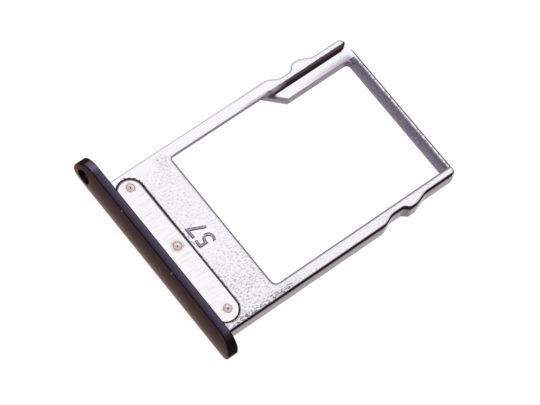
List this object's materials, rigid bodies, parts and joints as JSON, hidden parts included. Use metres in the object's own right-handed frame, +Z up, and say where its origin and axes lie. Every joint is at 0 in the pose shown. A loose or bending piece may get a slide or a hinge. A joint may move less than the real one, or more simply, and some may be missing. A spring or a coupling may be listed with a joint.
{
  "type": "memory card tray",
  "caption": "Slim metal tray for a small memory card: an open cast frame with wavy catch edges and a keyed corner, welded to the tongue of a black curved face plate with an eject pin hole.",
  "frame": {"origin": "under the middle of the whole tray, level with the face plate's lower edge", "axes": "+X along the face plate away from the pin hole, +Y the way the tray slides into the phone, +Z up out of the frame's lipped face"},
  "size_m": [0.0158, 0.0196, 0.0027],
  "materials": {
    "cast_frame": "bright fine-grained casting",
    "black_plate": "satin black coat, with the tongue bare and brushed",
    "weld_metal": "fused metal with a faint heat tint"
  },
  "bodies": {
    "root": {"tray_frame": "cast_frame", "face_plate": "black_plate", "weld_spots": "weld_metal"}
  },
  "joints": []
}
